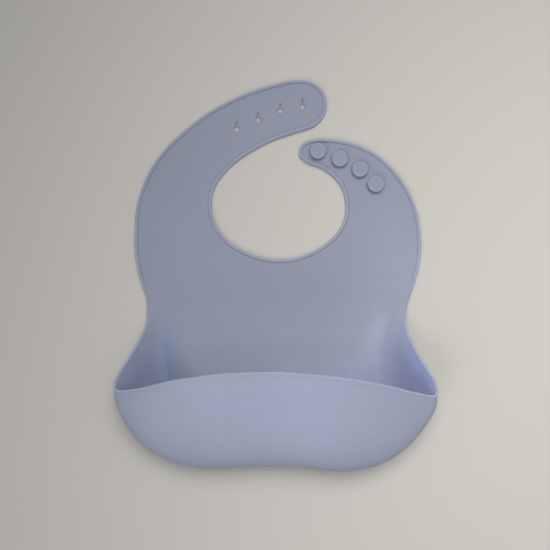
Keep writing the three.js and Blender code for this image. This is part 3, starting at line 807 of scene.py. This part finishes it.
# ------------------------------------------------------------------ studs
# radius, height: from the foot on the sheet, round the head, in to its dished middle
STUD_PROFILE = [
    (6.9, 1.99), (6.2, 2.02), (5.55, 2.12), (5.1, 2.34), (4.95, 2.65), (4.98, 2.95), (5.18, 3.16),
    (5.5, 3.32), (5.74, 3.56), (5.85, 3.9), (5.86, 4.3), (5.84, 4.75), (5.74, 5.10), (5.52, 5.36),
    (5.2, 5.50), (4.85, 5.56), (4.5, 5.55), (4.2, 5.48), (3.95, 5.36), (3.72, 5.23), (3.45, 5.16),
    (3.1, 5.14), (2.5, 5.14), (2.15, 5.17), (1.9, 5.25), (1.65, 5.27), (1.4, 5.23), (1.15, 5.17),
    (0.7, 5.15)]
STUD_BASE_Z = 1.2               # the foot is sunk into the sheet
STUD_SEGMENTS = 72
# painted highlight on a stud's top, stronger on its crest
STUD_TOP_HIGHLIGHT, STUD_CREST_HIGHLIGHT = 0.25, 0.62


def stud(name, x, y):
    bm = bmesh.new()
    painted_light = bm.verts.layers.float.new("painted_light")

    def ring(radius, z):
        angles = [2 * math.pi * k / STUD_SEGMENTS for k in range(STUD_SEGMENTS)]
        return [bm.verts.new((x + radius * math.cos(a), y + radius * math.sin(a), z))
                for a in angles]

    rings = [ring(radius, z) for radius, z in STUD_PROFILE]
    # painted highlight on the top and crest of the stud
    for (radius, z), verts in zip(STUD_PROFILE, rings):
        crest = z > 5.2 and radius > 3.5
        for v in verts:
            v[painted_light] = STUD_CREST_HIGHLIGHT if crest else STUD_TOP_HIGHLIGHT if z > 4.9 else 0.0
    rings.insert(0, ring(STUD_PROFILE[0][0], STUD_BASE_Z))
    tip = bm.verts.new((x, y, STUD_PROFILE[-1][1]))
    tip[painted_light] = STUD_TOP_HIGHLIGHT
    foot = bm.verts.new((x, y, STUD_BASE_Z))
    around = [(k, (k + 1) % STUD_SEGMENTS) for k in range(STUD_SEGMENTS)]
    for a, b in zip(rings, rings[1:]):
        for k, after in around:
            bm.faces.new((a[k], a[after], b[after], b[k]))
    for k, after in around:
        bm.faces.new((rings[-1][k], rings[-1][after], tip))
        bm.faces.new((rings[0][after], rings[0][k], foot))
    bmesh.ops.recalc_face_normals(bm, faces=bm.faces[:])
    return to_object(name, bm, stud_shaded_material)


studs = [stud(f"stud_{i}_skin", x, y) for i, (x, y) in enumerate(STUDS, 1)]


# ------------------------------------------------------------------ how the skin follows the bodies
def bend(obj, body, next_body, cut, length):
    """Hands the skin over from one body to the next along a length that starts at the cut."""
    at, direction = cut
    along = Vector((*direction, 0)).normalized()
    start = Vector((*at, 0)) * MM
    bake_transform(obj, body, next_body, start=tuple(start), end=tuple(start + along * length * MM))


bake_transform(pocket_skin, "lower_bib", "pocket_wall", start=(0, 0, 0.003), end=(0, 0, 0.040))
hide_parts("lower_panel", "gusset_left", "gusset_right", "pocket_side_left",
            "pocket_side_right", "pocket_bottom", "pocket_front", "pocket_rim")

# cut where a bend starts, length of the bend
LOWER_FOLD, UPPER_FOLD = (BELOW, 2 * FOLD_HALF), (CHEST, 2 * FOLD_HALF)
LEFT_ROOT, RIGHT_ROOT = (SHOULDER_L, SHOULDER_L_BEND), (SHOULDER_R, 2 * SHOULDER_R_HALF)
HOLE_BEND_1, HOLE_BEND_2 = (HOLE_CUT_1, 2 * HOLE_FLEX_HALF), (HOLE_CUT_2, 2 * HOLE_FLEX_HALF)
STUD_BEND = (STUD_CUT, 2 * STUD_FLEX_HALF)

bend(waist_skin, "lower_bib", "fold_band", *LOWER_FOLD)
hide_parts("lower_panel")
for part_name, body, next_body, place in (
        ("fold_band", "lower_bib", "fold_band", LOWER_FOLD),
        ("yoke", "fold_band", "yoke", UPPER_FOLD),
        ("hole_strap_root", "yoke", "hole_strap_root", LEFT_ROOT),
        ("hole_strap_mid", "hole_strap_root", "hole_strap_mid", HOLE_BEND_1),
        ("hole_strap_tip", "hole_strap_mid", "hole_strap_tip", HOLE_BEND_2),
        ("stud_strap_root", "yoke", "stud_strap_root", RIGHT_ROOT),
        ("stud_strap_tip", "stud_strap_root", "stud_strap_tip", STUD_BEND)):
    bend(upper_skins[part_name], body, next_body, *place)
    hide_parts(part_name)
for i, obj in enumerate(studs, 1):
    if i <= 2:
        bend(obj, "stud_strap_root", "stud_strap_tip", *STUD_BEND)
    else:
        bend(obj, "yoke", "stud_strap_root", *RIGHT_ROOT)
    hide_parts(f"stud_{i}")

# ------------------------------------------------------------------ floor, light and camera (m)
FLOOR_HALF, FLOOR_Z = 3, -0.0002
CAMERA_HEIGHT, VIEW_HALF_WIDTH = 0.560, 0.198       # half the width seen at table height


def make_floor():
    material = bpy.data.materials.new("pale_table")
    material.use_nodes = True
    inputs = material.node_tree.nodes["Principled BSDF"].inputs
    inputs["Base Color"].default_value = (0.69, 0.660, 0.615, 1)
    inputs["Roughness"].default_value = 0.75
    mesh = bpy.data.meshes.new("floor")
    corners = ((-1, -1), (1, -1), (1, 1), (-1, 1))
    mesh.from_pydata([(x * FLOOR_HALF, y * FLOOR_HALF, FLOOR_Z) for x, y in corners],
                     [], [(0, 1, 2, 3)])
    mesh.materials.append(material)
    floor = bpy.data.objects.new("floor", mesh)
    bpy.context.scene.collection.objects.link(floor)


def make_world():
    world = bpy.data.worlds.new("room")
    world.use_nodes = True
    inputs = world.node_tree.nodes["Background"].inputs
    inputs["Color"].default_value = (0.96, 0.98, 1.0, 1)
    inputs["Strength"].default_value = 0.29
    bpy.context.scene.world = world


def soft_spot(name, location, target, radius, cone, power, color):
    """A soft lamp whose light fades towards the sides of its cone, given in degrees."""
    light = bpy.data.lights.new(name, "SPOT")
    light.energy = power
    light.color = color
    light.shadow_soft_size = radius
    light.spot_size = math.radians(cone)
    light.spot_blend = 1.0
    obj = bpy.data.objects.new(name, light)
    obj.location = location
    aim = Vector(target) - Vector(location)
    obj.rotation_euler = aim.to_track_quat("-Z", "Y").to_euler()
    bpy.context.scene.collection.objects.link(obj)


def make_camera():
    """Looks straight down."""
    camera = bpy.data.cameras.new("camera")
    camera.sensor_fit = "HORIZONTAL"
    camera.angle = 2 * math.atan(VIEW_HALF_WIDTH / CAMERA_HEIGHT)
    camera.clip_start = 0.01
    camera.clip_end = 10
    obj = bpy.data.objects.new("camera", camera)
    obj.location = (-0.00144, 0.0180, CAMERA_HEIGHT)
    bpy.context.scene.collection.objects.link(obj)
    bpy.context.scene.camera = obj


make_floor()
make_world()
soft_spot("window", location=(0.20, 0.37, 0.92), target=(0.34, -0.16, 0), radius=0.42,
          cone=82, power=35.0, color=(1.0, 0.985, 0.965))
soft_spot("low_fill", location=(-0.50, -0.70, 0.74), target=(0.03, -0.07, 0), radius=0.40,
          cone=50, power=12.5, color=(0.94, 0.97, 1.0))
make_camera()
bpy.context.scene.view_settings.view_transform = "Standard"
bpy.context.scene.view_settings.look = "None"
